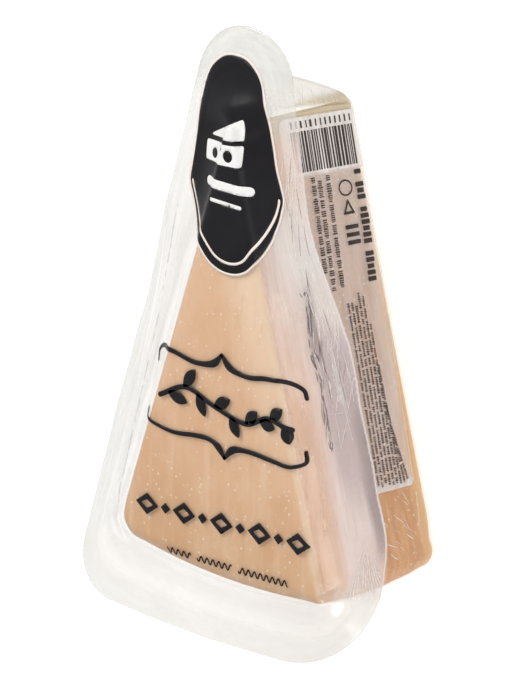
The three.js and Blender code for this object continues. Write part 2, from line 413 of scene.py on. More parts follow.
cheeseLook = dict(
    tones=dict(
        faceTop=(0.80, 0.52, 0.325), faceMiddle=(0.755, 0.445, 0.25), faceLow=(0.66, 0.385, 0.19),
        faceRight=(0.90, 0.69, 0.51), rightEdge=(0.84, 0.64, 0.46), streak=(0.84, 0.60, 0.41),
        side=(0.53, 0.23, 0.068), sideLight=(0.665, 0.367, 0.158), backEdge=(0.86, 0.60, 0.30),
        tipSide=(0.66, 0.54, 0.35), crystal=(0.95, 0.85, 0.72),
    ),
    patterns=dict(  # scale, detail, stretch, turn, roughness
        streaks=(420, 4, (1, 0.07, 0.3)), clouds=(42, 3), grain=(900, 2), picked=(230, 1),
        patches=(150, 5, (1, 0.55, 1), (0, 0, 0), 0.65),
        cuts=(210, 5, (1, 0.45, 3.2), (math.radians(28), 0, 0)),
    ),
    rightSlope=0.29, towardsRight=(0.002, 0.0115), rightAlong=(-0.045, 0.02, 0.0, 0.95),  # metres
    # Painted shading in the first two layers: the flat face is coloured lighter towards the tip and darker towards
    # the rind.
    faceLayers=(
        ("faceMiddle", "y", -0.058, -0.022), ("faceTop", "y", -0.012, 0.026), ("faceRight", "right", 0, 1),
        ("faceRight", "clouds", 0.4, 0.75, 0, 0.25), ("streak", "patches", 0.5, 0.7, 0, 0.5),
        ("faceLow", "patches", 0.46, 0.3, 0, 0.4), ("streak", "streaks", 0.5, 0.72, 0, 0.45),
        ("rightEdge", "fromEdge", 0.0145, 0.0158, 0, 0.8),
    ),
    sideLayers=(
        ("sideLight", "cuts", 0.42, 0.68, 0, 0.8), ("sideLight", "clouds", 0.4, 0.75, 0, 0.35),
        ("backEdge", "z", 0.0075, 0.001, 0, 0.7), ("tipSide", "y", 0.047, 0.053),
    ),
    facesUp=(0.35, 0.9), crystalScale=620.0, crystalSize=(0.24, 0.08), crystalShare=(0.41, 0.53, 0, 0.75),
    grainRelief=0.35, cutRelief=0.8, relief=(0.25, 0.0005), roughness=(0.39, 0.57), specular=0.25,
    softness=0.1, softDepth=0.003, softReach=(1.0, 0.5, 0.25),  # how far light runs on under the surface
)


def cheeseMaterial(look):
    material, tree = newMaterial("cutHardCheese")
    tones, place = look["tones"], objectPlace(tree)
    values = {key: noiseOn(tree, place, *pattern) for key, pattern in look["patterns"].items()}
    x, y, z = add(tree, "ShaderNodeSeparateXYZ", {"Vector": place}).outputs
    normal = add(tree, "ShaderNodeNewGeometry").outputs["Normal"]
    facingUp = add(tree, "ShaderNodeSeparateXYZ", {"Vector": normal}).outputs["Z"]
    fromEdge = plus(tree, times(tree, y, look["rightSlope"]), x)  # the same all along the right cut side
    right = times(tree, mapRange(tree, fromEdge, *look["towardsRight"]),
                  mapRange(tree, y, *look["rightAlong"]))
    values.update(y=y, z=z, fromEdge=fromEdge, right=right)

    face = layered(tree, tones["faceLow"], look["faceLayers"], tones, values)
    side = layered(tree, tones["side"], look["sideLayers"], tones, values)
    colour = blendColour(tree, mapRange(tree, facingUp, *look["facesUp"]), side, face)
    cells = add(tree, "ShaderNodeTexVoronoi", {"Vector": place, "Scale": look["crystalScale"]})
    speck = mapRange(tree, cells.outputs["Distance"], *look["crystalSize"])
    speck = times(tree, speck, mapRange(tree, values["picked"], *look["crystalShare"]))
    colour = blendColour(tree, speck, colour, tones["crystal"])

    height = plus(tree, times(tree, values["grain"], look["grainRelief"]),
                  times(tree, values["cuts"], look["cutRelief"]))
    shader = add(tree, "ShaderNodeBsdfPrincipled", {
        "Base Color": colour, "Normal": reliefOf(tree, height, *look["relief"]),
        "Roughness": mapRange(tree, values["clouds"], 0.3, 0.7, *look["roughness"]),
        "Subsurface Weight": look["softness"], "Subsurface Scale": look["softDepth"],
        "Subsurface Radius": look["softReach"], "Specular IOR Level": look["specular"],
    })
    return finished(material, shader)


def ripples(x, y, wavelength, seed, count=7):
    random = np.random.default_rng(seed)
    total = np.zeros_like(x)
    for _ in range(count):
        angle = random.uniform(0, 2 * math.pi)
        size = wavelength * random.uniform(0.6, 1.6)
        phase = random.uniform(0, 2 * math.pi)
        total += np.sin((x * math.cos(angle) + y * math.sin(angle)) * 2 * math.pi / size + phase)
    return total / math.sqrt(count)


cutSide = dict(  # the knife leaves the cut sides very slightly uneven
    dent=0.09, wavelength=13.0, seed=3, slant=(1.4, 0.3), least=0.12, most=0.35,
)


def buildCheese(cut):
    turns = np.linspace(0, math.pi / 2, steps["edge"])
    upper = [edgeRing(0, faceOfCheese, t, 1) for t in turns]
    lower = [edgeRing(0, floorOfCheese, t, -1) for t in turns]
    wall = [upper[-1] + (lower[-1] - upper[-1]) * share for share in np.linspace(0, 1, steps["wall"])[1:-1]]
    rings = [swollen(ring) for ring in upper + wall + lower[::-1]]
    along = np.where(np.arange(ringCount) < ringCount / 2, alongSkirt, -alongSkirt)
    byHeight, byLength = cut["slant"]
    for ring in rings[len(upper):-len(lower)]:
        waves = ripples(along, ring[:, 2] * byHeight + along * byLength, cut["wavelength"], cut["seed"])
        depth = np.clip(cut["least"] + cut["dent"] * waves, 0, cut["most"])
        ring[:, :2] -= cheeseNormals * depth[:, None]
    rings = spineRings(rings[0], steps["faceFan"]) + rings + spineRings(rings[-1], steps["backFan"])[::-1]
    return makePiece(
        "cheeseBlock", np.vstack(rings), gridFaces(len(rings), ringCount), cheeseMaterial(cheeseLook),
        replaces=("cheese_wedge",), merge=True,
    )


buildCheese(cutSide)
print("cheese made")


skirt = dict(
    dropAtCheese=1.3, dropAtSeal=6.0, dropAtEdge=8.6, sealStart=0.57, pocketLeavesWall=4.8,
    liftShare=0.37, liftFrom=3, liftTo=38, easesFrom=56, easesTo=74, eased=0.6,
    filmThickness=0.18, pocketBelowLid=0.24, pocketThickness=0.15,
    offCheese=0.3, pocketOffCheese=0.42, offFloor=0.02, lidLeavesEdge=math.radians(40),
    scallopPitch=1.6, scallopDepth=0.2,
)
fin = dict(  # the empty film past the tip
    rootY=53.7, atSkirt=13.9, atBack=0.2, bow=0.8,
    oliveTo=(56.5, 58.0), oliveMilk=0.4, milkFrom=(0.0, 0.15), toneFrom=(0.0, 0.05),
)


def skirtDrop(share, y):
    kept = 1 - skirt["liftShare"] * smooth(y, skirt["liftFrom"], skirt["liftTo"]) \
        * (1 - skirt["eased"] * smooth(y, skirt["easesFrom"], skirt["easesTo"]))
    start = skirt["sealStart"]
    swing = np.sin(math.pi / 2 * np.clip(share / start, 0, 1))
    web = skirt["dropAtCheese"] + (skirt["dropAtSeal"] * kept - skirt["dropAtCheese"]) * swing
    past = (share - start) / (1 - start)
    seal = kept * (skirt["dropAtSeal"] + (skirt["dropAtEdge"] - skirt["dropAtSeal"]) * past)
    return np.where(share < start, web, seal)


def distanceToLine(x, y, start, end):
    start, end = np.array(start, float), np.array(end, float)
    span = end - start
    t = np.clip(((x - start[0]) * span[0] + (y - start[1]) * span[1]) / (span @ span), 0, 1)
    return np.hypot(x - start[0] - t * span[0], y - start[1] - t * span[1]), t


creases = dict(  # start, end, width and depth of single folds in the films
    leftCornerA=((-38.4, -41.1), (-36.9, -50.5), 0.5, 0.5),
    leftCornerB=((-41.1, -48.0), (-33.5, -54.5), 0.6, 0.4),
    leftInner=((-20.5, 36), (-33.5, -22), 0.7, -0.25),
    rightLong=((20.2, 20), (30.4, -20), 0.9, 0.45),
    rightInner=((23.0, 16), (31.2, -11), 0.7, -0.35),
    rightCross=((29.6, -10.1), (33.5, -9.1), 0.4, 0.3),
    rightVeeA=((33.5, -9.1), (32.4, -17.8), 0.4, 0.3),
    rightVeeB=((29.6, -10.1), (32.4, -17.8), 0.4, 0.3),
    badgeFoldA=((-12, 51), (10, 56), 2.6, 0.9),
    badgeFoldB=((-9, 57), (9, 60.5), 2.0, -0.6),
    badgeKink=((-14.5, 39.5), (-9.5, 29), 1.2, 0.4),
)
fan = dict(apex=(40.6, -35.6), ridges=9, length=20.0, fromAngle=-103.0, toAngle=-71.0, depth=0.16)


filmWaves = dict(
    web=(0.02, 0.3), right=(-2, 4), rightAlong=((62, 40), (-60, -48)), middle=0.8,
    long=(17, 11), short=(6, 12),  # wavelength and seed
    calm=0.07, crumpled=0.12, shortDepth=0.05,
    groove=0.16, grooveWidth=0.035, step=0.1, stepWidth=0.04,
)


def filmRelief(x, y, share):
    # Height change of the sealed skirt: seal edge, folds, fan of ridges, fine pleats and slow waves.
    waves, sealAt = filmWaves, skirt["sealStart"]
    web = smooth(share, *waves["web"])
    right = smooth(x - waves["middle"], *waves["right"]) * within(y, *waves["rightAlong"])
    relief = web * (waves["calm"] + waves["crumpled"] * right) * ripples(x, y, *waves["long"])
    relief = relief + web * right * waves["shortDepth"] * ripples(x, y, *waves["short"])
    relief = relief - waves["groove"] * bump(share, sealAt, waves["grooveWidth"])
    relief = relief + waves["step"] * smooth(share, sealAt, sealAt + waves["stepWidth"])
    for start, end, width, depth in creases.values():
        away, t = distanceToLine(x, y, start, end)
        relief -= depth * bump(away, 0, width) * np.sin(math.pi * np.clip(t, 0.02, 0.98)) ** 0.5
    dx, dy = x - fan["apex"][0], y - fan["apex"][1]
    angle = np.degrees(np.arctan2(dy, dx))
    ridges, length = fan["ridges"], fan["length"]
    phase = (angle - fan["fromAngle"]) / (fan["toAngle"] - fan["fromAngle"]) * ridges
    inside = within(phase, (-0.4, 0.4), (ridges + 0.4, ridges - 0.4))
    inside = inside * within(np.hypot(dx, dy), (3, 9), (length + 4, length))
    return relief + fan["depth"] * inside * np.cos(2 * math.pi * phase)


def lidRings():
    # The film over the face and its edge, then out over the skirt. A share below 0 is not on the skirt.
    gap, start = skirt["offCheese"], skirt["sealStart"]
    turns = np.linspace(0, skirt["lidLeavesEdge"], steps["lidEdge"])
    rings = [edgeRing(gap, faceOfLid, turn, 1, gap) for turn in turns]
    rings = spineRings(rings[0], steps["lidFan"]) + rings
    shares = [np.full(ringCount, -1.0) for _ in rings]
    inner = cheeseRing + cheeseNormals * gap
    scallop = skirt["scallopDepth"] * np.abs(np.sin(math.pi * alongSkirt / skirt["scallopPitch"]))
    edge = skirtRing - normalsOf(skirtRing) * scallop[:, None]
    web, seal = np.linspace(0, start, steps["lidWeb"]), np.linspace(start, 1, steps["lidSeal"])
    for share in np.concatenate([web, seal[1:]]):
        flat = inner + (edge - inner) * share
        shares.append(np.full(ringCount, share))
        z = faceOfLid - skirtDrop(shares[-1], flat[:, 1]) + filmRelief(flat[:, 0], flat[:, 1], shares[-1])
        rings.append(np.column_stack([flat, z]))
    return rings, shares


# Where the lid film is crumpled, beside the right edge of the cheese
crumpleLine = np.array([
    (20.5, 18.3), (21.5, 14.8), (23.0, 4.8), (25.1, -0.9), (27.1, -7.8), (29.4, -16.5), (30.3, -19.3)])
filmTones = dict(  # what the milky parts of the film look like on screen
    pale=shade(243, 241, 238), warmPale=shade(253, 247, 240), pinkPale=shade(247, 236, 232),
    pink=shade(246, 228, 220), purple=shade(212, 197, 199), dark=shade(166, 150, 150),
    foldHighlight=shade(252, 250, 247), tan=shade(240, 208, 182), fin=shade(240, 236, 230),
    olive=shade(203, 188, 157), dome=shade(236, 235, 231), foot=shade(238, 232, 224),
)
filmMilk = dict(  # how milky each part is
    face=0.012, web=0.17, seal=0.10, rightSide=0.33, belowRind=0.1, rim=0.16, fin=0.42, dome=0.28, most=0.92)
filmPlaces = dict(  # ramps that say where each part is, along the pack's Y or across from cheese to rim
    right=(-1, 5), rightAlong=((-57, -49), (60, 48)), rightAcross=(-0.05, 0.07),
    belowRind=(-50, -58), foot=(-50, -60), dome=(58, 68), rim=(0.982, 0.997), rimElsewhere=0.2,
)
# Patches of the right side: tone and how strong, extra milk, and the ramps along Y and across the skirt.
# Some lie around a place along Y, or beside the crumpled line, within a width.
rightPatches = (
    dict(tone="pink"),
    dict(tone="pinkPale", along=[(-4, 14)]),
    dict(tone="tan", strength=0.5, along=[(30, 46)], across=[(0.95, 0.6, 0.4)]),
    dict(tone="tan", along=[(20, -20)], across=[(0.4, 0.08)]),
    dict(tone="pinkPale", strength=0.8, along=[(-24, -36)], across=[(0.25, 0.45)]),
    dict(tone="pale", strength=0.7, milk=0.12, around=(26, 10), across=[(0.15, 0.4)]),
    dict(tone="pale", strength=0.0, milk=0.16, around=(-30, 8), across=[(0.25, 0.45)]),
    dict(tone="purple", strength=0.95, along=[(15, 4), (-38, -20, 0.105)], across=[(0.33, 0.57)]),
    # Painted shade: the dark milk beside the crumpled line, where the crumpled film reflects little light.
    dict(tone="dark", strength=0.72, byCrumples=(0.7, 1.3), along=[(-22, -12), (22, 14), (-4, 8, 0.167)]),
    dict(tone="dark", strength=0.75, milk=0.1, along=[(-48, -38), (2, -16)], across=[(0.76, 0.9)]),
)


def towards(tint, tone, amount):
    return tint + (np.array(filmTones[tone]) - tint) * np.clip(amount, 0, 1)[:, None]


def patchAmount(patch, x, y, share):
    amount = within(y, *patch.get("along", ())) * within(share, *patch.get("across", ()))
    if "around" in patch:
        amount = amount * bump(y, *patch["around"])
    if "byCrumples" in patch:
        beside, width = patch["byCrumples"]
        lineX = np.interp(-y, -crumpleLine[:, 1], crumpleLine[:, 0])
        amount = amount * bump(x, lineX + beside, width)
    return amount


def hazeOf(x, y, share):
    # How milky each film surface is, and its tint, from where it lies on the pack.
    milk, places, start = filmMilk, filmPlaces, skirt["sealStart"]
    onSkirt = share >= 0
    seal = smooth(share, start - 0.01, start + 0.02)
    haze = np.where(onSkirt, milk["web"] + (milk["seal"] - milk["web"]) * seal, milk["face"])
    tint = np.tile(np.array(filmTones["pale"]), (len(x), 1))

    # The right side of the skirt is made milky, partly for its crumpled film and partly as painted reflection of
    # light off it.
    right = smooth(x - filmWaves["middle"], *places["right"]) * onSkirt * within(y, *places["rightAlong"])
    haze = haze + right * (milk["rightSide"] - milk["web"]) * smooth(share, *places["rightAcross"])
    for patch in rightPatches:
        amount = right * patchAmount(patch, x, y, share)
        tint = towards(tint, patch["tone"], amount * patch.get("strength", 1.0))
        haze = haze + amount * patch.get("milk", 0.0)

    # Painted light: below the rind the skirt's milk is made thinner and warm pale, to lighten film that the cheese
    # shades.
    belowRind = onSkirt * smooth(y, *places["belowRind"]) * smooth(share, start + 0.03, start - 0.04)
    haze = haze + belowRind * (milk["belowRind"] - milk["web"]) * (1 - right)
    tint = towards(tint, "warmPale", belowRind)
    tint = towards(tint, "foot", onSkirt * seal * smooth(y, *places["foot"]))
    dome = onSkirt * smooth(y, *places["dome"])
    tint = towards(tint, "dome", dome)
    elsewhere = places["rimElsewhere"]
    rim = smooth(share, *places["rim"]) * (elsewhere + (1 - elsewhere) * right)
    tint = towards(tint, "pinkPale", rim)
    haze = haze + dome * milk["dome"] + rim * milk["rim"]
    return np.clip(haze, 0, milk["most"]), np.clip(tint, 0, 1)


filmLook = dict(
    clearTint=(0.982, 0.981, 0.976), gloss=0.03, glossRoughness=0.14, milkRoughness=0.4, milkSpecular=0.4,
    along=(0.3, 5, (0.14, 1, 0.3)), lines=(1.5, 3, (0.06, 1, 0.2)), cloud=(60, 3),  # scale, detail, stretch
    mottle=0.13, lineContrast=0.045, relief=(0.16, 0.0004), alongRelief=0.5, lineRelief=0.3,
    calmAtFoot=(-0.056, -0.044, 0.3, 1), skirtWidth=22,
)


def filmMaterial(name, look, streaks=0.17, grazing=0.7):
    # Clear film that turns milky where the haze attribute says so. The streaks follow filmFlow.
    material, tree = newMaterial(name)
    flow = add(tree, "ShaderNodeAttribute", attribute_name="filmFlow").outputs["Vector"]
    haze = add(tree, "ShaderNodeAttribute", attribute_name="haze").outputs["Fac"]
    tint = add(tree, "ShaderNodeAttribute", attribute_name="hazeTint").outputs["Color"]
    place = objectPlace(tree)
    along, lines = noiseOn(tree, flow, *look["along"]), noiseOn(tree, flow, *look["lines"])
    cloud = noiseOn(tree, place, *look["cloud"])
    upPack = add(tree, "ShaderNodeSeparateXYZ", {0: place}).outputs["Y"]
    calm = mapRange(tree, upPack, *look["calmAtFoot"])

    def swing(pattern, size):
        return mapRange(tree, pattern, 0.3, 0.7, -size, size)

    mottle = plus(tree, times(tree, swing(along, streaks), calm), swing(cloud, look["mottle"]))
    milky = maths(tree, "MULTIPLY", haze, plus(tree, mottle, 1.0), clamp=True)
    lightness = plus(tree, times(tree, swing(lines, look["lineContrast"]), calm), 0.995)
    milkColour = add(tree, "ShaderNodeVectorMath", {0: tint, "Scale": lightness}, operation="SCALE")
    height = plus(tree, times(tree, along, look["alongRelief"]), times(tree, lines, look["lineRelief"]))
    relief = reliefOf(tree, times(tree, height, calm), *look["relief"])
    facing = add(tree, "ShaderNodeLayerWeight", {"Blend": 0.5, "Normal": relief}).outputs["Facing"]
    shine = times(tree, maths(tree, "POWER", facing, 4.0), grazing)
    shine = maths(tree, "ADD", shine, look["gloss"], clamp=True)
    clear = add(tree, "ShaderNodeBsdfTransparent", {"Color": (*look["clearTint"], 1)})
    mirror = add(tree, "ShaderNodeBsdfGlossy", {
        "Color": (1, 1, 1, 1), "Roughness": look["glossRoughness"], "Normal": relief})
    skin = add(tree, "ShaderNodeMixShader", {0: shine, 1: clear.outputs[0], 2: mirror.outputs[0]})
    milk = add(tree, "ShaderNodeBsdfPrincipled", {
        "Base Color": milkColour.outputs[0], "Roughness": look["milkRoughness"], "Normal": relief,
        "Specular IOR Level": look["milkSpecular"]})
    both = add(tree, "ShaderNodeMixShader", {0: milky, 1: skin.outputs[0], 2: milk.outputs[0]})
    return finished(material, both)


def shellPiece(name, rings, shares, inward, material, node, alongFin=None):
    # A film of even thickness: the rings, and the same rings moved inward, sewn at the edge.
    outer, share = np.vstack(rings), np.concatenate(shares)
    haze, tint = hazeOf(outer[:, 0], outer[:, 1], share)
    if alongFin is not None:
        root = 1 - smooth(outer[:, 1], *fin["oliveTo"])
        haze = haze + (filmMilk["fin"] + fin["oliveMilk"] * root) * smooth(alongFin, *fin["milkFrom"])
        tint = towards(tint, "fin", smooth(alongFin, *fin["toneFrom"]))
        tint = towards(tint, "olive", root * (alongFin > 0))
    acrossSkirt = np.clip(share, -1, 1) * filmLook["skirtWidth"]
    flow = np.column_stack([np.tile(fromTipAlong, len(rings)), acrossSkirt, outer[:, 0]])
    count, rows = ringCount, len(rings)
    faces = [gridFaces(rows, count), gridFaces(rows, count, first=len(outer))[:, ::-1]]
    a = (rows - 1) * count + np.arange(count)
    b = (rows - 1) * count + (np.arange(count) + 1) % count
    faces.append(np.stack([a, b, b + len(outer), a + len(outer)], -1))
    attributes = dict(
        haze=("FLOAT", np.tile(haze, 2)),
        hazeTint=("FLOAT_COLOR", np.column_stack([np.tile(tint, (2, 1)), np.ones(2 * len(outer))])),
        filmFlow=("FLOAT_VECTOR", np.tile(flow, (2, 1))),
    )
    return makePiece(name, np.vstack([outer, outer + inward]), np.vstack(faces), material,
                     replaces=(node,), attributes=attributes, merge=True)


lidTop, lidShares = lidRings()
lidFilm = filmMaterial("clearLidFilm", filmLook)
shellPiece("lidSheet", lidTop, lidShares, np.array([0, 0, -skirt["filmThickness"]]), lidFilm, "lid_film")
lidTree = surfaceTree(lidTop)
print("lid film made")


def lidHeight(x, y):
    hit = lidTree.ray_cast(Vector((x, y, 80.0)), Vector((0, 0, -1)))[0]
    if hit is None:
        hit = lidTree.find_nearest(Vector((x, y, 38.0)))[0]
    return hit.z


def withFin(ring, length):
    tip = ring[0, 1]
    share = np.clip((ring[:, 1] - fin["rootY"]) / (tip - fin["rootY"]), 0, 1)
    return np.column_stack([ring[:, 0], ring[:, 1] + length * share])


def underLid(flat):
    lid = np.array([lidHeight(x, y) for x, y in flat])
    return np.minimum(faceOfLid - skirt["pocketLeavesWall"], lid - skirt["pocketBelowLid"])


def pocketRings():
    # The film round the back, up the wall with the fin at the tip, then out under the lid film.
    gap, start = skirt["pocketOffCheese"], skirt["sealStart"]
    turns = np.linspace(0, math.pi / 2, steps["edge"])
    rings = [edgeRing(gap, skirt["offFloor"], turn, -1, skirt["offCheese"]) for turn in turns]
    wall = cheeseRing + cheeseNormals * gap
    foot, head = rings[-1][:, 2], underLid(withFin(wall, fin["atSkirt"]))
    for share in np.linspace(0, 1, steps["pocketWall"])[1:]:
        length = fin["atBack"] + (fin["atSkirt"] - fin["atBack"]) * share ** fin["bow"]
        rings.append(np.column_stack([withFin(wall, length), foot + (head - foot) * share]))
    rings = [swollen(ring) for ring in rings]
    rings = spineRings(rings[0], steps["backFan"]) + rings
    shares = [np.full(ringCount, -1.0) for _ in rings]
    last = rings[-1][:, :2]
    web, seal = np.linspace(0, start, steps["pocketWeb"]), np.linspace(start, 1, steps["pocketSeal"])
    for share in np.concatenate([web[1:], seal[1:]]):
        flat = last + (lidTop[-1][:, :2] - last) * share
        rings.append(np.column_stack([flat, underLid(flat)]))
        shares.append(np.full(ringCount, share))
    return rings, shares


def makePocket():
    rings, shares = pocketRings()
    share, height = np.concatenate(shares), np.vstack(rings)[:, 2]
    sideways = np.tile(np.column_stack([cheeseNormals, np.zeros(ringCount)]), (len(rings), 1))
    inward = skirt["pocketThickness"] * np.where((share >= 0)[:, None], np.array([0, 0, -1]), -sideways)
    alongFin = np.clip((cheeseRing[:, 1] - fin["rootY"]) / (cheeseRing[0, 1] - fin["rootY"]), 0, 1)
    alongFin = np.tile(alongFin, len(rings)) * (share < 0) * (height > 1)
    film = filmMaterial("clearPocketFilm", filmLook, streaks=0.5, grazing=0.2)
    shellPiece("pocketSkin", rings, shares, inward, film, "pocket_film", alongFin=alongFin)
    return surfaceTree(rings)


pocketTree = makePocket()
print("pocket film made")


def curveThrough(points, stepsBetween, closed=False):
    # A smooth curve through the points.
    points = np.array(points, float)
    last = len(points)
    if closed:
        ends = np.vstack([points[-1], points, points[:2]])
    else:
        ends = np.vstack([2 * points[0] - points[1], points, 2 * points[-1] - points[-2]])
        last -= 1
    t = (np.arange(stepsBetween) / stepsBetween)[:, None]
    parts = []
    for i in range(last):
        a, b, c, d = ends[i:i + 4]
        parts.append(0.5 * (2 * b + (c - a) * t + (2 * a - 5 * b + 4 * c - d) * t ** 2
                            + (3 * b - a - 3 * c + d) * t ** 3))
    if not closed:
        parts.append(points[-1:])
    return np.vstack(parts)


def leftOf(path, closed=False):
    if closed:
        ahead = np.roll(path, -1, 0) - np.roll(path, 1, 0)
    else:
        ahead = np.gradient(path, axis=0)
    ahead /= np.maximum(np.linalg.norm(ahead, axis=1, keepdims=True), 1e-9)
    return np.column_stack([-ahead[:, 1], ahead[:, 0]])


def stroke(path, width):
    # A brush stroke along a path: one closed loop with round ends. Width may change on the way.
    path = np.array(path, float)
    half = np.broadcast_to(np.asarray(width, float) / 2, (len(path),))[:, None]
    side = leftOf(path)
    loops = [path + side * half]
    for end, sign in ((-1, -1), (0, 1)):
        heading = math.atan2(-side[end, 0], side[end, 1])
        turn = heading + math.pi / 2 - np.linspace(0, math.pi, 7)[1:-1] + (0 if sign < 0 else math.pi)
        cap = path[end] + half[end] * np.column_stack([np.cos(turn), np.sin(turn)])
        loops.append(cap)
        if sign < 0:
            loops.append((path - side * half)[::-1])
    return np.vstack(loops)


def resampled(loop, spacing):
    loop = np.vstack([loop, loop[:1]])
    length = np.concatenate([[0], np.cumsum(np.linalg.norm(np.diff(loop, axis=0), axis=1))])
    parts = []
    for i in range(len(loop) - 1):
        count = max(1, math.ceil((length[i + 1] - length[i]) / spacing))
        parts.append(loop[i] + (loop[i + 1] - loop[i]) * (np.arange(count) / count)[:, None])
    return np.vstack(parts)


def isInside(points, loops):
    # Even-odd rule over all the loops.
    inside = np.zeros(len(points), bool)
    px, py = points[:, :1], points[:, 1:2]
    for loop in loops:
        ax, ay = loop.T
        bx, by = np.roll(loop, -1, 0).T
        crosses = (ay > py) != (by > py)
        at = ax + (py - ay) * (bx - ax) / np.where(by == ay, 1e-12, by - ay)
        inside ^= (np.sum(crosses & (px < at), axis=1) % 2).astype(bool)
    return inside


def filled(loops, spacing):
    # Triangles of about the given size inside closed loops.
    loops = [resampled(np.array(loop, float), spacing) for loop in loops]
    outline = np.vstack(loops)
    low, high = outline.min(0), outline.max(0)
    across, up = (np.arange(low[k] + spacing * 0.5, high[k], spacing) for k in (0, 1))
    grid = np.stack(np.meshgrid(across, up), -1).reshape(-1, 2)
    if len(grid):
        grid = grid[isInside(grid, loops)]
    if len(grid):
        near = np.min(np.linalg.norm(grid[:, None] - outline[None], axis=2), axis=1)
        grid = grid[near > spacing * 0.45]
    edges, first = [], 0
    for loop in loops:
        edges += [(first + i, first + (i + 1) % len(loop)) for i in range(len(loop))]
        first += len(loop)
    points = [Vector(p) for p in np.vstack([outline, grid])]
    made = delaunay_2d_cdt(points, edges, [], 0, 1e-6)
    verts = np.array([tuple(p) for p in made[0]])
    faces = np.array([f for f in made[2]])
    return verts, faces[isInside(verts[faces].mean(1), loops)]


def plates(shapes, spacing, place, low, high):
    # Thin closed plates, one for each shape, set on a surface by the place function.
    allVerts, allFaces, first = [], [], 0
    for loops in shapes:
        flat, tris = filled(loops, spacing)
        corners = flat[tris]
        area = np.cross(corners[:, 1] - corners[:, 0], corners[:, 2] - corners[:, 0])
        tris = np.where((area < 0)[:, None], tris[:, ::-1], tris)
        rims = {}
        for a, b, c in tris.tolist():
            for edge in ((a, b), (b, c), (c, a)):
                rims[edge] = True
        rim = [edge for edge in rims if edge[::-1] not in rims]
        n = len(flat)
        allVerts += [place(flat, high), place(flat, low)]
        allFaces += (tris + first).tolist() + (tris[:, ::-1] + first + n).tolist()
        allFaces += [(b + first, a + first, a + first + n, b + first + n) for a, b in rim]
        first += 2 * n
    return np.vstack(allVerts), allFaces


def onLid(flat, height):
    return np.column_stack([flat, [lidHeight(x, y) + height for x, y in flat]])


def clearOfLid(flat, height):
    # As onLid, but clear of any ridge close by, such as the one over the tip of the cheese.
    around = [(0, 0), (0.25, 0), (-0.25, 0), (0, 0.25), (0, -0.25)]
    top = [max(lidHeight(x + dx, y + dy) for dx, dy in around) for x, y in flat]
    return np.column_stack([flat, np.array(top) + height])


inks = dict(
    black=(0.0085, 0.0075, 0.009), white=(0.83, 0.82, 0.80), line=(0.86, 0.76, 0.70),
    brown=(0.035, 0.022, 0.018), lift=0.004, specular=0.2,
    wear=(260, 4), clouds=(55, 2), cloudsFrom=(0.35, 0.7), relief=(0.08, 0.0002), roughSwing=(-0.05, 0.08),
    low=0.05, high=0.11, fieldHigh=0.13, markHigh=0.14,  # foot and top of the print above the film
)


def inkMaterial(name, ink, roughness, mottled=0.25):
    material, tree = newMaterial(name)
    place, colour = objectPlace(tree), inks[ink]
    wear, clouds = noiseOn(tree, place, *inks["wear"]), noiseOn(tree, place, *inks["clouds"])
    lighter = tuple(min(1, c * (1 + mottled) + inks["lift"]) for c in colour)
    smoother, rougher = (roughness + swing for swing in inks["roughSwing"])
    shader = add(tree, "ShaderNodeBsdfPrincipled", {
        "Base Color": blendColour(tree, mapRange(tree, clouds, *inks["cloudsFrom"]), colour, lighter),
        "Normal": reliefOf(tree, wear, *inks["relief"]), "Specular IOR Level": inks["specular"],
        "Roughness": mapRange(tree, wear, 0.3, 0.7, smoother, rougher)})
    return finished(material, shader)


def printOnLid(name, shapes, material, low, high, spacing=0.8, place=onLid):
    verts, faces = plates(shapes, spacing, place, low, high)
    makePiece(name, verts, faces, material)


badge = dict(
    profile=(  # Y and half width, from the top down
        (70.4, 0), (69.9, 3.4), (68, 6.3), (65.5, 8.2), (60.5, 9.7), (52, 11.7), (47, 12.5), (42.5, 13.6),
        (39, 14.5), (36.2, 13.9), (33, 12.8), (28.6, 11.0), (24.9, 8.9), (21.9, 6.3), (20.3, 3.3)),
    foot=19.8, lean=(-2.0, 1.8), haloWidth=0.55,
    lineWidth=0.62, lineBelow=39.5, lineInset=(0.9, 2.3), insetFalls=(37, 23),
    wedgeTop=((-8.4, 51.0), (4.2, 51.6), (3.4, 56.6)),
    wedgeSide=((-8.8, 49.9), (-8.6, 45.2), (4.4, 45.4), (4.4, 50.5)),
    wedgeHoles=((-4.9, 47.3, 1.2), (0.9, 47.7, 1.45), (-1.9, 49.1, 0.6)),
    bar=((-6.2, 40.6), (6.8, 40.0)), barWidth=2.2, tick=((-4.0, 36.6), (5.0, 36.0)), tickWidth=0.9,
)


def badgeOutline():
    right = [(half, y) for y, half in badge["profile"]]
    left = [(-half, y) for y, half in badge["profile"][1:]]
    loop = curveThrough(right + [(0, badge["foot"])] + left[::-1], 6, closed=True)
    top, foot = badge["profile"][0][0], badge["foot"]
    loop[:, 0] += np.interp(loop[:, 1], (foot, top), badge["lean"][::-1])
    return loop


def roundedBy(corners, radius, count=6):
    # A polygon with its corners rounded.
    corners = np.array(corners, float)
    parts = []
    for i, corner in enumerate(corners):
        before, after = corners[i - 1] - corner, corners[(i + 1) % len(corners)] - corner
        before, after = before / np.linalg.norm(before), after / np.linalg.norm(after)
        opening = math.acos(np.clip(before @ after, -1, 1))
        cut = radius / math.tan(opening / 2)
        start, end = corner + before * cut, corner + after * cut
        t = np.linspace(0, 1, count)[:, None]
        parts.append((1 - t) ** 2 * start + 2 * t * (1 - t) * corner + t ** 2 * end)
    return np.vstack(parts)


def circle(x, y, radius, count=20):
    angle = np.linspace(0, 2 * math.pi, count + 1)[:-1]
    return np.column_stack([x + radius * np.cos(angle), y + radius * np.sin(angle)])


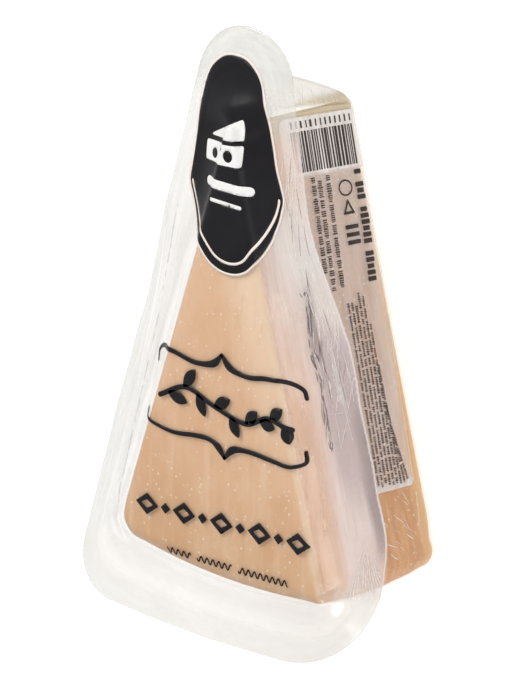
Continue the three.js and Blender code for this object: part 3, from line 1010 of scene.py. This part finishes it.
def printBadge(look):
    outline = badgeOutline()
    outwards = -leftOf(outline, closed=True)
    if (outwards[0] @ (0, 1)) < 0:
        outwards = -outwards
    black = inkMaterial("blackFilmPrint", "black", 0.36)
    white = inkMaterial("whiteFilmPrint", "white", 0.5, 0.02)
    pale = inkMaterial("paleFilmPrint", "line", 0.5, 0.05)
    foot, top = inks["low"], inks["markHigh"]
    printOnLid("badgeHalo", [[outline + outwards * look["haloWidth"], outline]], pale, foot, inks["high"])
    low = np.where(outline[:, 1] < look["lineBelow"])[0]
    near, far = look["lineInset"]
    inset = near + (far - near) * smooth(outline[low, 1], *look["insetFalls"])
    line = stroke(outline[low] - outwards[low] * inset[:, None], look["lineWidth"])
    wedge = [[roundedBy(look["wedgeTop"], 0.5)],
             [roundedBy(look["wedgeSide"], 0.6)] + [circle(*hole) for hole in look["wedgeHoles"]]]
    bars = [stroke(np.linspace(*look[key], 12), look[key + "Width"]) for key in ("bar", "tick")]
    # The marks are let into the black field, so nothing lies on top of anything else.
    field = [[outline, line] + wedge[0] + wedge[1] + bars]
    printOnLid("badgeField", field, black, foot, inks["fieldHigh"], 0.6, clearOfLid)
    printOnLid("badgeLine", [[line]], pale, foot, top, 0.6, clearOfLid)
    printOnLid("badgeMark", wedge + [[bar] for bar in bars], white, foot, top, 0.6, clearOfLid)
    return black


lidOrnaments = dict(  # the dark print on the lid, with plain ornaments
    bowTop=(
        (-23.4, -7.4), (-23.6, -4.9), (-20.6, -3.0), (-15.5, -2.9), (-8.5, -4.2), (-2.6, -3.4), (0.2, -0.7)),
    bowTopRight=(
        (0.2, -0.7), (3.0, -3.4), (8.6, -4.4), (14.2, -3.6), (18.8, -3.6), (22.4, -5.2), (23.5, -7.4)),
    bowLow=(
        (-24.4, -19.2), (-23.2, -21.6), (-15.4, -23.1), (-8.0, -22.4), (-3.6, -22.3), (-0.6, -23.5), (1.6, -26.0)),
    bowLowRight=(
        (1.6, -26.0), (4.4, -23.3), (9.6, -22.7), (16, -23.2), (21.6, -23.6), (25.2, -22.4), (25.0, -19.8)),
    bowWidth=0.75, bowSwells=((0.5, 0.6, 0.35), (0.85, 0.86, 0.09)),  # added width, where, over what length
    stem=((-19.4, -14.6), (-11, -11.0), (-2, -13.8), (8, -16.0), (15, -13.2), (21.6, -14.8)), stemWidth=1.3,
    leaves=9, leafSize=(6.6, 3.1), leafTurn=0.75, leafShrinks=0.04,
    rowFrom=(-26.2, -43.3), rowTo=(28.2, -41.8), rowShapes=9, rowSize=(7.4, 5.6), rowInset=3.45,
    between=(0.42, 0.5),  # the small lozenges, as shares of the large ones
    waves=((-16.4, -8.6), (-6.6, 4.6), (6.8, 22.2)), waveY=-53.4, waveSlope=0.018,
    waveHeight=0.75, waveLength=1.9, waveWidth=0.42,
)


def bow(points, look):
    path = curveThrough(points, 7)
    share = np.linspace(0, 1, len(path))
    swells = sum(more * bump(share, at, over) for more, at, over in look["bowSwells"])
    return stroke(path, look["bowWidth"] + swells)


def leaf(root, heading, length, width):
    t = np.linspace(0, 1, 12)
    half = width / 2 * np.sin(math.pi * t) ** 0.8
    ahead = np.array([math.cos(heading), math.sin(heading)])
    across = np.array([-ahead[1], ahead[0]])
    middle = np.array(root) + np.outer(t * length, ahead)
    return np.vstack([middle + across * half[:, None], (middle - across * half[:, None])[::-1][1:-1]])


def lozenge(x, y, width, height):
    return roundedBy([(x - width / 2, y), (x, y - height / 2), (x + width / 2, y), (x, y + height / 2)], 0.25)


def printDark(look, black):
    shapes = [[bow(look[key], look)] for key in ("bowTop", "bowLow")]
    shapes += [[bow(look[key][::-1], look)[::-1]] for key in ("bowTopRight", "bowLowRight")]
    stem = curveThrough(look["stem"], 10)
    shapes.append([stroke(stem, look["stemWidth"])])
    ahead = np.gradient(stem, axis=0)
    length, width = look["leafSize"]
    for i in range(look["leaves"]):
        at = round((i + 0.6) * (len(stem) - 1) / (look["leaves"] + 0.2))
        heading = math.atan2(ahead[at, 1], ahead[at, 0]) + look["leafTurn"] * (1 if i % 2 else -1)
        shapes.append([leaf(stem[at], heading, length * (1 - look["leafShrinks"] * i), width)])
    start, end = np.array(look["rowFrom"]), np.array(look["rowTo"])
    size = np.array(look["rowSize"])
    for i in range(look["rowShapes"]):
        middle = start + (end - start) * (i + 0.5) / look["rowShapes"]
        if i % 2:
            shapes.append([lozenge(*middle, *(size * look["between"]))])
        else:
            shapes.append([lozenge(*middle, *size), lozenge(*middle, *(size - look["rowInset"]))])
    for low, high in look["waves"]:
        x = np.arange(low, high, 0.16)
        y = look["waveY"] + (x - look["waves"][0][0]) * look["waveSlope"] \
            + look["waveHeight"] * np.sin(2 * math.pi * x / look["waveLength"])
        shapes.append([stroke(np.column_stack([x, y]), look["waveWidth"])])
    printOnLid("lidOrnaments", shapes, black, inks["low"], inks["high"], spacing=0.9)


printDark(lidOrnaments, printBadge(badge))
print("lid print made")


foldLines = dict(  # fine raised folds in the lid film, shown as pale strokes of painted highlight and dark strokes of painted shade: how many, where, how long and wide
    fan=dict(
        count=12, apex=(40.6, -37.6), lengths=(20.0, 13.5), angles=(-103.0, -71.0), width=0.13,
        starts=(3, 6, 9), uneven=0.12,
    ),
    single=(  # start, end, width
        ((29.0, -10.3), (33.5, -9.1), 0.1), ((33.5, -9.1), (32.4, -17.8), 0.09),
        ((30.4, -9.9), (32.3, -17.8), 0.09), ((33.5, -9.1), (33.9, -0.7), 0.08),
        ((-38.4, -41.1), (-36.9, -50.5), 0.16), ((-41.1, -48.0), (-33.5, -54.5), 0.14),
    ),
    crumples=dict(
        count=80, innerLine=((21.2, 18.4), (24.7, 11.0), (26.3, 1.7), (28.3, -2.8), (30.1, -7.9)),
        onInner=0.4, lengths=(4, 17), crowding=0.8, spread=0.4, spreadEnds=(1.3, 0.5),
        wander=0.05, widths=(0.1, 0.36), widthEnds=(1.15, 0.45), darkShare=(0.8, 0.35),
    ),
    sealDashes=dict(
        count=46, path=((-17.6, 35.3), (-22.2, 18.2), (-26.7, -0.5), (-32.3, -23.5), (-38, -47.3)),
        lengths=(3, 7), width=0.07,
    ),
    ridges=dict(  # upright, in the seal to the right of the crumpled line
        count=10, first=(26.4, 10.5), pitch=(0.5, -1.4), scatter=(0.08, 1.2), reach=(4.4, -12.5),
        lengths=(0.6, 1.1), width=0.09,
    ),
    rimLines=dict(  # beside the rim
        count=70, along=(-12, 54), lengths=(7, 17), insets=(1.0, 5.2), drifts=(-0.5, 1.6),
        darkShare=0.3, width=0.09,
    ),
    foldHeight=(0.02, 0.09), crumpleHeight=(0.02, 0.07), milk=0.42,
)
foldLook = dict(
    patches=(500, 3), relief=(0.3, 0.0003), roughness=0.3, specular=0.6,
    clear=(0.98, 0.98, 0.98), shaded=(0.2, 0.165, 0.175), milkSwing=0.2,
)


def foldMaterial(name, colour, milkiness):
    material, tree = newMaterial(name)
    look = foldLook
    patches = noiseOn(tree, objectPlace(tree), *look["patches"])
    milk = add(tree, "ShaderNodeBsdfPrincipled", {
        "Base Color": (*colour, 1), "Roughness": look["roughness"],
        "Normal": reliefOf(tree, patches, *look["relief"]), "Specular IOR Level": look["specular"]})
    clear = add(tree, "ShaderNodeBsdfTransparent", {"Color": (*look["clear"], 1)})
    least, most = milkiness - look["milkSwing"], milkiness + look["milkSwing"]
    mixed = add(tree, "ShaderNodeMixShader", {
        0: mapRange(tree, patches, 0.3, 0.7, least, most), 1: clear.outputs[0], 2: milk.outputs[0]})
    return finished(material, mixed)


def thinning(path, width, ends=0.4):
    # A stroke that thins towards both ends.
    share = np.linspace(0, 1, len(path))
    return [stroke(path, width * (ends + (1 - ends) * np.sin(math.pi * share)))]


def foldBetween(start, end, width):
    return thinning(np.linspace(start, end, 14), width, ends=0.35)


def bitOf(path, lengths):
    at = int(seeded.uniform(0, len(path) - lengths[1] - 1))
    return path[at:at + int(seeded.uniform(*lengths))]


def fanFolds(look):
    apex, count = np.array(look["apex"]), look["count"]
    folds = []
    for i, angle in enumerate(np.radians(np.linspace(*look["angles"], count))):
        way = np.array([math.cos(angle), math.sin(angle)])
        length = np.interp(i, (0, count - 1), look["lengths"])
        length = length * (1 - look["uneven"] + look["uneven"] * math.sin(i * 2.1))
        folds.append(foldBetween(apex + way * look["starts"][i % 3], apex + way * length, look["width"]))
    return folds


def addCrumples(look, pale, dark):
    # Short creases along the two crumpled lines, closer and finer towards their lower ends. Pale creases are
    # painted highlights, dark ones painted shade.
    paths = [curveThrough(crumpleLine, 20), curveThrough(look["innerLine"], 20)]
    for _ in range(look["count"]):
        inner = seeded.uniform() < look["onInner"]
        path = paths[inner]
        length = int(seeded.uniform(*look["lengths"]))
        at = int(seeded.uniform(0.0, 0.999) ** look["crowding"] * (len(path) - length))
        share = at / len(path)
        away = seeded.normal() * look["spread"] * np.interp(share, (0, 1), look["spreadEnds"])
        piece = path[at:at + length] + leftOf(path)[at:at + length] * away
        piece = piece + np.cumsum(seeded.normal(size=piece.shape) * look["wander"], axis=0)
        width = seeded.uniform(*look["widths"]) * np.interp(share, (0, 1), look["widthEnds"])
        target = dark if seeded.uniform() < look["darkShare"][inner] else pale
        target.append(thinning(piece, width))


def filmFolds(look):
    # Pale strokes are painted highlights along the folds, and dark strokes are painted shade in them.
    pale = fanFolds(look["fan"]) + [foldBetween(*line) for line in look["single"]]
    dark = []
    addCrumples(look["crumples"], pale, dark)
    dashes = look["sealDashes"]
    path = curveThrough(dashes["path"], 40)
    dark += [[stroke(bitOf(path, dashes["lengths"]), dashes["width"])] for _ in range(dashes["count"])]
    ridges = look["ridges"]
    first, pitch = np.array(ridges["first"]), np.array(ridges["pitch"])
    for k in range(ridges["count"]):
        start = first + pitch * k + seeded.normal(size=2) * ridges["scatter"]
        end = start + np.array(ridges["reach"]) * seeded.uniform(*ridges["lengths"])
        pale.append(foldBetween(start, end, ridges["width"]))
    lines = look["rimLines"]
    low, high = lines["along"]
    rim = skirtRing[(skirtRing[:, 0] > 0) & (skirtRing[:, 1] > low) & (skirtRing[:, 1] < high)]
    for _ in range(lines["count"]):
        piece = bitOf(rim, lines["lengths"])
        inset = seeded.uniform(*lines["insets"])
        inset = inset + seeded.uniform(*lines["drifts"]) * np.linspace(0, 1, len(piece))
        target = dark if seeded.uniform() < lines["darkShare"] else pale
        target.append(thinning(piece - leftOf(piece) * inset[:, None], lines["width"]))
    foldHighlight = foldMaterial("foldHighlightFilm", filmTones["foldHighlight"], look["milk"])
    shaded = foldMaterial("shadedFilmFold", foldLook["shaded"], look["milk"])
    printOnLid("filmFolds", pale, foldHighlight, *look["foldHeight"], spacing=1.0)
    printOnLid("filmCrumples", dark, shaded, *look["crumpleHeight"], spacing=1.0)


filmFolds(foldLines)
print("film folds made")


sticker = dict(
    along=(-45.2, 46.8), across=(-15.2, 13.2), fromVertex=50.5, height=17.8, turn=3.0,
    corner=2.2, offset=0.62, thickness=0.1, bendsBelow=2.5, bendRadius=2.7, printHeight=(0.02, 0.06),
    haze=0.17, hazeFadesIn=(0, 1.5), panelHaze=0.46, panelFrom=(32.1, 33.1),
    endHaze=0.25, endAlong=(-2.2, -1.2), endAcross=(-20, 12),
    tone=(0.90, 0.88, 0.87), panelTone=(0.93, 0.88, 0.85), streaks=0.35,
)
stickerPrint = dict(
    barsAlong=(33.6, 43.3), barsAcross=(-12.6, 9.6), barWidths=(0.22, 0.85), barGaps=(0.25, 0.6),
    digitsAcross=(-12.4, 9.0), digitsAt=44.9, digitPitch=1.75, digitSize=(0.7, 1.7),
    fineRows=((32.0, 8.6, 4.1), (31.0, 4.6, 1.9), (32.0, 4.2, -1.2)), fineTall=1.75, fineSlant=0.8,
    denseEnds=(
        (-32, -10.4), (-25, -9.4), (-15, -8.8), (-5, -8.2), (2, -7.0),
        (3, -5.6), (0, -4.2), (1, -2.8), (1, -1.4)),
    denseFrom=-44.2, denseLow=-13.1, densePitch=1.36, denseTall=0.86,
    markWidths=(0.2, 0.42), markGap=0.2, wordGap=0.5, wordLengths=(3, 10),
    ring=(28.3, -6.9), ringSize=(2.0, 2.5), ringWidth=0.42, triangle=(23.6, -6.9), triangleSize=2.1,
    threeBars=(14.2, 19.8, -4.8, -9.4), threeBarWidth=1.0,
    boldRow=((32.4, -12.0), (18.6, -12.2), (4.2, -11.4)), boldSize=(1.12, 2.9),
    boldPitch=1.53, boldGaps=(1, 5, 12),
)
cutAngle = math.radians(cheeseOutline["angles"][0])
tipwards = np.array([-math.sin(cutAngle), math.cos(cutAngle), 0])
outOfSide = np.array([math.cos(cutAngle), math.sin(cutAngle), 0])


def onSide(flat, height):
    # Places on the right cut side: along it towards the tip, and across it towards the face.
    turn = math.radians(sticker["turn"])
    upZ = np.array([0, 0, 1])
    alongU = math.cos(turn) * tipwards - math.sin(turn) * upZ
    alongV = math.sin(turn) * tipwards + math.cos(turn) * upZ
    x, y = cheeseOutline["vertex"]
    centre = np.array([x, y, sticker["height"]]) - tipwards * sticker["fromVertex"]
    points = centre + np.outer(flat[:, 0], alongU) + np.outer(flat[:, 1], alongV)
    # Below a certain height it bends round the back edge of the pocket.
    radius = sticker["bendRadius"] + height
    angle = np.maximum(sticker["bendsBelow"] - points[:, 2], 0) / radius
    points[:, 2] = np.maximum(points[:, 2], sticker["bendsBelow"]) - radius * np.sin(angle)
    return points + np.outer(sticker["offset"] + height - radius * (1 - np.cos(angle)), outOfSide)


def makeSticker(look):
    (foot, top), (right, left) = look["along"], look["across"]
    loop = roundedBy([(foot, right), (top, right), (top, left), (foot, left)], look["corner"])
    verts, faces = plates([[loop]], 1.0, onSide, 0, look["thickness"])
    flat, _ = filled([loop], 1.0)
    u, v = np.vstack([flat, flat]).T
    panel = smooth(u, *look["panelFrom"])
    haze = look["haze"] * smooth(v - right, *look["hazeFadesIn"])
    haze = haze + (look["panelHaze"] - look["haze"] / 2) * panel
    haze = haze + look["endHaze"] * smooth(foot - u, *look["endAlong"]) * smooth(-v, *look["endAcross"])
    tone, panelTone = np.array(look["tone"]), np.array(look["panelTone"])
    tint = tone + np.outer(panel, panelTone - tone)
    attributes = dict(
        haze=("FLOAT", haze), hazeTint=("FLOAT_COLOR", np.column_stack([tint, np.ones(len(u))])),
        filmFlow=("FLOAT_VECTOR", np.column_stack([u, v, v * 0.2])))
    film = filmMaterial("clearStickerFilm", filmLook, look["streaks"])
    makePiece("sideSticker", verts, faces, film, replaces=("side_label",), attributes=attributes)


def block(u0, u1, v0, v1):
    return np.array([(u0, v0), (u1, v0), (u1, v1), (u0, v1)], float)


def fineRow(high, low, tall):
    # A row of small upright marks in word-like groups between two points.
    look = stickerPrint
    (u, vHigh), (uLow, vLow) = high, low
    shapes, slope = [], (vHigh - vLow) / (u - uLow)
    while u > uLow:
        for _ in range(int(seeded.integers(*look["wordLengths"]))):
            wide = seeded.uniform(*look["markWidths"])
            if u - wide <= uLow:
                break
            grow = tall * seeded.uniform(0.6, 1.0) / 2
            at = vLow + slope * (u - uLow)
            shapes.append([block(u - wide, u, at - grow, at + grow)])
            u -= wide + look["markGap"]
        u -= look["wordGap"]
    return shapes


def barField(look):
    (start, end), (v, high) = look["barsAlong"], look["barsAcross"]
    shapes = []
    while v < high:
        wide = seeded.uniform(*look["barWidths"])
        shapes.append([block(start, end, v, min(v + wide, high))])
        v += wide + seeded.uniform(*look["barGaps"])
    wide, tall = look["digitSize"]
    at = look["digitsAt"]
    for v in np.arange(*look["digitsAcross"], look["digitPitch"]):
        shapes.append([block(at - tall / 2, at + tall / 2, v, v + wide * seeded.uniform(0.5, 1.0))])
    return shapes


def plainSigns(look):
    # A ring, a triangle, three bars and a row of bold blocks.
    ring, size = circle(0, 0, 1, 28), np.array(look["ringSize"])
    shapes = [[ring * size + look["ring"], ring * (size - look["ringWidth"]) + look["ring"]]]
    r, (u, v) = look["triangleSize"], look["triangle"]
    corners = np.array([(r, 0), (-r * 0.8, r), (-r * 0.8, -r)])
    shapes.append([roundedBy(corners + (u, v), 0.3), roundedBy(corners * 0.52 + (u - 0.12, v), 0.12)])
    u0, u1, vHigh, vLow = look["threeBars"]
    half = look["threeBarWidth"] / 2
    for k in range(3):
        at = u0 + (u1 - u0) * (k + 0.5) / 3
        shapes.append([block(at - half, at + half, vLow, vHigh)])
    path = curveThrough(look["boldRow"], 30)
    lengths = np.concatenate([[0], np.cumsum(np.linalg.norm(np.diff(path, axis=0), axis=1))])
    wide, tall = look["boldSize"]
    for k in range(int(lengths[-1] / look["boldPitch"])):
        if k not in look["boldGaps"]:
            u, v = (np.interp(k * look["boldPitch"] + 0.7, lengths, path[:, j]) for j in (0, 1))
            half = tall * (1.0 if k % 3 else 0.8) / 2
            shapes.append([roundedBy(block(u - wide / 2, u + wide / 2, v - half, v + half), 0.25)])
    return shapes


def printSticker(look):
    shapes = barField(look)
    for uHigh, uLow, v in look["fineRows"]:
        shapes += fineRow((uHigh, v), (uLow, v + look["fineSlant"]), look["fineTall"])
    for k, end in enumerate(look["denseEnds"]):
        start = (look["denseFrom"], look["denseLow"] + k * look["densePitch"])
        shapes += fineRow(end, start, look["denseTall"])
    shapes += plainSigns(look)
    low, high = (sticker["thickness"] + height for height in sticker["printHeight"])
    verts, faces = plates(shapes, 12.0, onSide, low, high)
    makePiece("stickerMarks", verts, faces, inkMaterial("brownStickerPrint", "brown", 0.5))


def onFin(flat, height):
    # The flat places are Y and Z on the right face of the fin at the tip.
    points = []
    for y, z in flat:
        hit, normal, _, _ = pocketTree.ray_cast(Vector((60, y, z)), Vector((-1, 0, 0)))
        if hit is None:
            hit, normal, _, _ = pocketTree.find_nearest(Vector((3, y, z)))
        if normal.x < 0:
            normal = -normal
        points.append(hit + normal * height)
    return np.array([tuple(point) for point in points])


# Bright strokes of painted highlight along ridges in the fin.
finFolds = dict(
    film="finFoldHighlight", count=16, heights=(4, 34), root=54.6, rootScatter=1.5, lengths=(0.35, 0.85),
    fullHeight=38, rises=(-1.0, 2.5), widths=(0.1, 0.22), above=(0.02, 0.08), milk=0.4,
)
sideWrinkles = dict(  # where the film is drawn tight over the cut side, below and beside the sticker, shown as bright strokes of painted highlight
    film="sideFoldHighlight", count=34,
    foot=dict(along=(-62, -48), across=(-13, 12), headings=(25, 75), lengths=(1.5, 6)),
    edge=dict(along=(-62, 30), across=(-15.0, -13.9), headings=(-12, 12), lengths=(4, 12)),
    lowest=-15.6, widths=(0.1, 0.26), above=(-0.14, -0.06), milk=0.3,
)


# Folds in the pocket film, drawn as bright strokes of painted highlight.
def foldsInPocket(name, shapes, spacing, place, look):
    verts, faces = plates(shapes, spacing, place, *look["above"])
    film = foldMaterial(look["film"], filmTones["foldHighlight"], look["milk"])
    makePiece(name, verts, faces, film)


def makeFinRidges(look):
    shapes = []
    for _ in range(look["count"]):
        z = seeded.uniform(*look["heights"])
        start = np.array([look["root"] + seeded.uniform(0, look["rootScatter"]), z])
        reach = fin["atSkirt"] * (z / look["fullHeight"]) ** fin["bow"] * seeded.uniform(*look["lengths"])
        end = start + (reach, seeded.uniform(*look["rises"]))
        shapes.append(foldBetween(start, end, seeded.uniform(*look["widths"])))
    foldsInPocket("finRidgeHighlights", shapes, 1.2, onFin, look)


def makeSideFolds(look):
    shapes = []
    for k in range(look["count"]):
        area = look["foot"] if k % 3 else look["edge"]
        start = np.array([seeded.uniform(*area["along"]), seeded.uniform(*area["across"])])
        heading = math.radians(seeded.uniform(*area["headings"]))
        end = start + seeded.uniform(*area["lengths"]) * np.array([math.cos(heading), math.sin(heading)])
        end[1] = max(end[1], look["lowest"])
        shapes.append(foldBetween(start, end, seeded.uniform(*look["widths"])))
    foldsInPocket("sideFoldHighlights", shapes, 3.0, onSide, look)


makeSticker(sticker)
printSticker(stickerPrint)
print("sticker made")
makeSideFolds(sideWrinkles)
makeFinRidges(finFolds)
print("pocket folds made")
